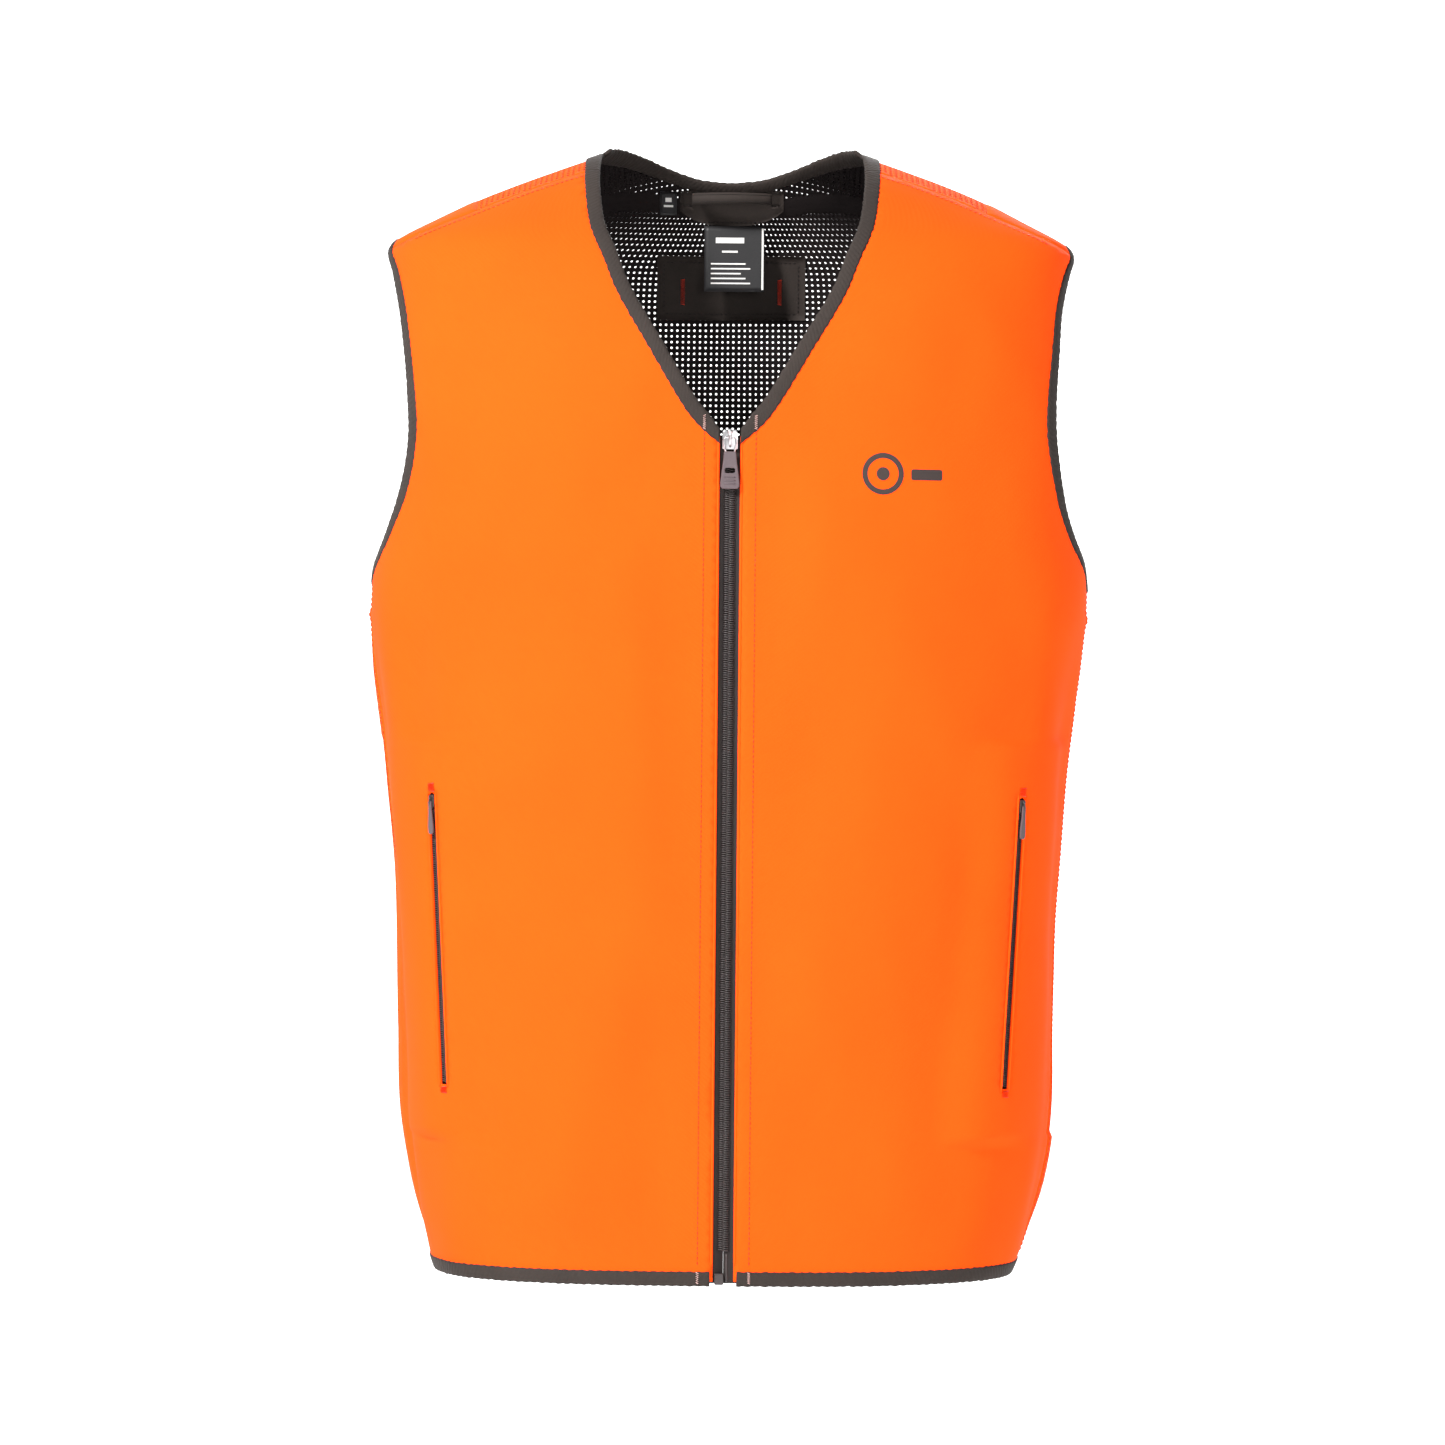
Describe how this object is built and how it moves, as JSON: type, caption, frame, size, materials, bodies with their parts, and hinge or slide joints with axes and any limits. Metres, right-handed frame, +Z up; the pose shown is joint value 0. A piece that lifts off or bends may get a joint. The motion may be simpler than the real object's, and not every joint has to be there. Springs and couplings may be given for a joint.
{
  "type": "high-visibility hunting vest",
  "caption": "Sleeveless full-zip softshell vest in blaze orange, with bound edges, zipped hand pockets and a perforated yoke and back.",
  "frame": {"origin": "middle of the shoulder line, between the two neck points, where a wearer's shoulders or a hanger carry the vest", "axes": "+X to the wearer's left, +Y to the back, +Z up; the zip closes in the plane X = 0"},
  "size_m": [0.4416, 0.2552, 0.705],
  "materials": {
    "orange_shell": "matte",
    "orange_vent": "matte",
    "binding": "matte",
    "zip_tape": "matte",
    "zip_coil": "satin",
    "zip_fitting": "satin",
    "bail_metal": "satin",
    "pull_moulding": "satin",
    "pocket_lining": "matte",
    "inner_trim": "matte",
    "label": "satin",
    "tag_strip": "matte",
    "bartack_thread": "satin"
  },
  "bodies": {
    "root": {"shoulder_yoke": "orange_vent", "shoulder_left_cap": "orange_shell", "shoulder_right_cap": "orange_shell", "back_vent_panel": "orange_vent", "back_left_panel": "orange_shell", "back_right_panel": "orange_shell", "back_lower_panel": "orange_shell", "front_left_side_panel": "orange_shell", "front_right_side_panel": "orange_shell", "neck_binding": "binding", "armhole_binding_left": "binding", "armhole_binding_right": "binding", "hem_binding": "binding", "pocket_left_tapes": "zip_tape", "pocket_right_tapes": "zip_tape", "pocket_left_teeth": "zip_coil", "pocket_right_teeth": "zip_coil", "pocket_left_bag": "pocket_lining", "pocket_right_bag": "pocket_lining", "neck_facing": "inner_trim", "size_label": "label", "tag_backing": "tag_strip", "tag_loop": "tag_strip", "bartacks": "bartack_thread"},
    "front_left": {"front_left_panel": "orange_shell", "neck_binding_left": "binding", "hem_binding_left": "binding", "zip_tape_left": "zip_tape", "zip_teeth_left": "zip_coil", "zip_insertion_pin": "zip_fitting"},
    "front_right": {"front_right_panel": "orange_shell", "neck_binding_right": "binding", "hem_binding_right": "binding", "zip_tape_right": "zip_tape", "zip_teeth_right": "zip_coil", "zip_retainer_box": "zip_fitting"},
    "zip_slider": {"zip_slider": "zip_fitting"},
    "zip_pull": {"zip_pull_bail": "bail_metal", "zip_pull_tab": "pull_moulding"},
    "pocket_left_slider": {"pocket_left_slider": "zip_fitting"},
    "pocket_left_pull": {"pocket_left_pull": "pull_moulding"},
    "pocket_right_slider": {"pocket_right_slider": "zip_fitting"},
    "pocket_right_pull": {"pocket_right_pull": "pull_moulding"},
    "hang_loop": {"hang_loop": "inner_trim"},
    "care_label": {"care_label": "label"}
  },
  "joints": [
    {"name": "front_left_open", "type": "hinge", "parent": "root", "child": "front_left", "pos_m": [0.118, -0.10846, -0.688], "axis": [-0.067, -0.0391, 0.997], "range_deg": [0, 75]},
    {"name": "front_right_open", "type": "hinge", "parent": "root", "child": "front_right", "pos_m": [-0.118, -0.10846, -0.688], "axis": [-0.067, 0.0391, -0.997], "range_deg": [0, 75]},
    {"name": "zip_slide", "type": "slide", "parent": "front_right", "child": "zip_slider", "axis": [0, 0.0235, -0.9997], "range_m": [0, 0.477]},
    {"name": "zip_pull_flip", "type": "hinge", "parent": "zip_slider", "child": "zip_pull", "pos_m": [0, -0.13209, -0.18169], "axis": [-1, 0, 0], "range_deg": [0, 150]},
    {"name": "pocket_left_slide", "type": "slide", "parent": "root", "child": "pocket_left_slider", "axis": [-0.0497, 0.0198, -0.9986], "range_m": [0, 0.165]},
    {"name": "pocket_left_pull_flip", "type": "hinge", "parent": "pocket_left_slider", "child": "pocket_left_pull", "pos_m": [0.1792, -0.08704, -0.40006], "axis": [-0.7529, -0.6577, 0.0244], "range_deg": [0, 150]},
    {"name": "pocket_right_slide", "type": "slide", "parent": "root", "child": "pocket_right_slider", "axis": [0.0497, 0.0198, -0.9986], "range_m": [0, 0.165]},
    {"name": "pocket_right_pull_flip", "type": "hinge", "parent": "pocket_right_slider", "child": "pocket_right_pull", "pos_m": [-0.1792, -0.08704, -0.40006], "axis": [-0.7529, 0.6577, -0.0244], "range_deg": [0, 150]},
    {"name": "hang_loop_lift", "type": "hinge", "parent": "root", "child": "hang_loop", "pos_m": [0, 0.072, -0.0155], "axis": [-1, 0, 0], "range_deg": [0, 50]},
    {"name": "care_label_lift", "type": "hinge", "parent": "root", "child": "care_label", "pos_m": [0, 0.08485, -0.035], "axis": [-1, 0, 0], "range_deg": [0, 100]}
  ]
}
